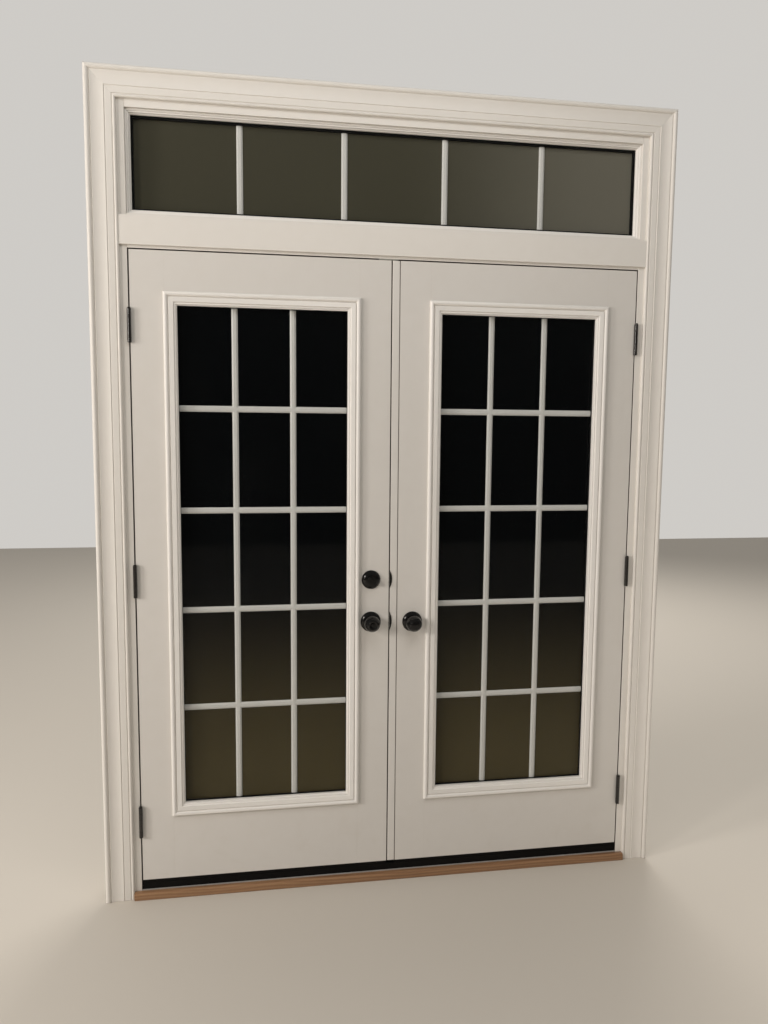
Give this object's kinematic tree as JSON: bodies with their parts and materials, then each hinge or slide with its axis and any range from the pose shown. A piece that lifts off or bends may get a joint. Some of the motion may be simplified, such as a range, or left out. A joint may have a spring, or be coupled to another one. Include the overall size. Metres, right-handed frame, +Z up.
{
  "type": "french doors",
  "caption": "Inswing double door in its frame, with divided lites, an astragal, a knob set with deadbolt, butt hinges, a low sill, moulded casing and a divided fixed transom above.",
  "frame": {"origin": "centre of the sill's underside, on the floor", "axes": "+X to the right as seen from indoors, +Y outdoors, +Z up"},
  "size_m": [1.87, 0.2078, 2.588],
  "materials": {
    "painted_frame": "warm white semi-gloss paint on timber",
    "painted_leaf": "warm white semi-gloss paint on a flush slab",
    "lite_frame": "moulded composite, painted",
    "glass": "clear",
    "spacer": "matt black warm-edge foam",
    "grille": "white baked enamel",
    "bronze": "dark bronze, satin",
    "hinge": "dark bronze, satin",
    "seal": "dark brown, matt",
    "sill_base": "composite, matt",
    "deck": "mill finish",
    "cap": "black",
    "oak": "varnished oak"
  },
  "bodies": {
    "root": {"casing_left": "painted_frame", "casing_right": "painted_frame", "casing_head": "painted_frame", "brickmould_left": "painted_frame", "brickmould_right": "painted_frame", "brickmould_head": "painted_frame", "jamb_left": "painted_frame", "jamb_right": "painted_frame", "door_head_jamb": "painted_frame", "door_head_stop": "painted_frame", "mull_filler": "painted_frame", "transom_sill": "painted_frame", "transom_head_jamb": "painted_frame", "transom_band": "painted_frame", "transom_stop": "painted_frame", "transom_panes": "glass", "transom_spacer": "spacer", "transom_grille": "grille", "sill_base": "sill_base", "sill_deck": "deck", "sill_cap": "cap", "floor_nosing": "oak", "weatherstrip": "seal", "hinge_leaves_frame": "hinge", "hinge_pins": "hinge"},
    "active_leaf": {"active_slab": "painted_leaf", "active_lite_frame_indoor": "lite_frame", "active_lite_frame_outdoor": "lite_frame", "active_panes": "glass", "active_spacer": "spacer", "active_grille": "grille", "active_sweep": "seal", "hinge_leaves_active": "hinge", "rose_indoor": "bronze", "rose_outdoor": "bronze", "latch_case": "bronze", "deadbolt_case": "bronze", "deadbolt_rose": "bronze", "deadbolt_cylinder": "bronze"},
    "passive_leaf": {"passive_slab": "painted_leaf", "passive_lite_frame_indoor": "lite_frame", "passive_lite_frame_outdoor": "lite_frame", "passive_panes": "glass", "passive_spacer": "spacer", "passive_grille": "grille", "passive_sweep": "seal", "hinge_leaves_passive": "hinge", "astragal": "painted_leaf", "astragal_seal": "seal", "strike_plates": "bronze", "dummy_knob_indoor": "bronze", "dummy_knob_outdoor": "bronze"},
    "knob_pair": {"knob_indoor": "bronze", "knob_outdoor": "bronze"},
    "privacy_button": {"turn_button": "bronze"},
    "latch": {"latch_bolt": "bronze"},
    "thumb_turn": {"thumb_turn": "bronze"},
    "deadbolt": {"deadbolt": "bronze"},
    "top_bolt": {"flush_bolt_top": "bronze"},
    "bottom_bolt": {"flush_bolt_bottom": "bronze"}
  },
  "joints": [
    {"name": "active_swing", "type": "hinge", "parent": "root", "child": "active_leaf", "pos_m": [-0.8215, -0.0645, 0], "axis": [0, 0, -1], "range_deg": [0, 110]},
    {"name": "passive_swing", "type": "hinge", "parent": "root", "child": "passive_leaf", "pos_m": [0.8215, -0.0645, 0], "axis": [0, 0, 1], "range_deg": [0, 110]},
    {"name": "knob_turn", "type": "hinge", "parent": "active_leaf", "child": "knob_pair", "pos_m": [-0.074, -0.058, 0.899], "axis": [0, 1, 0], "range_deg": [-60, 0], "stiffness_Nm_per_rad": 0.15, "springref_deg": -60},
    {"name": "latch_slide", "type": "slide", "parent": "active_leaf", "child": "latch", "axis": [1, 0, 0], "range_m": [0, 0.012]},
    {"name": "privacy_button_turn", "type": "hinge", "parent": "knob_pair", "child": "privacy_button", "pos_m": [-0.074, -0.058, 0.899], "axis": [0, 1, 0], "range_deg": [0, 90]},
    {"name": "thumb_turn_turn", "type": "hinge", "parent": "active_leaf", "child": "thumb_turn", "pos_m": [-0.074, -0.058, 1.04], "axis": [0, 1, 0], "range_deg": [0, 90]},
    {"name": "deadbolt_slide", "type": "slide", "parent": "active_leaf", "child": "deadbolt", "axis": [1, 0, 0], "range_m": [0, 0.0254]},
    {"name": "top_bolt_slide", "type": "slide", "parent": "passive_leaf", "child": "top_bolt", "axis": [0, 0, 1], "range_m": [0, 0.02]},
    {"name": "bottom_bolt_slide", "type": "slide", "parent": "passive_leaf", "child": "bottom_bolt", "axis": [0, 0, -1], "range_m": [0, 0.02]}
  ],
  "couplings": [
    {"joint": "latch_slide", "follows": "knob_turn", "m_per_rad": -0.01145},
    {"joint": "deadbolt_slide", "follows": "thumb_turn_turn", "m_per_rad": 0.01616}
  ]
}
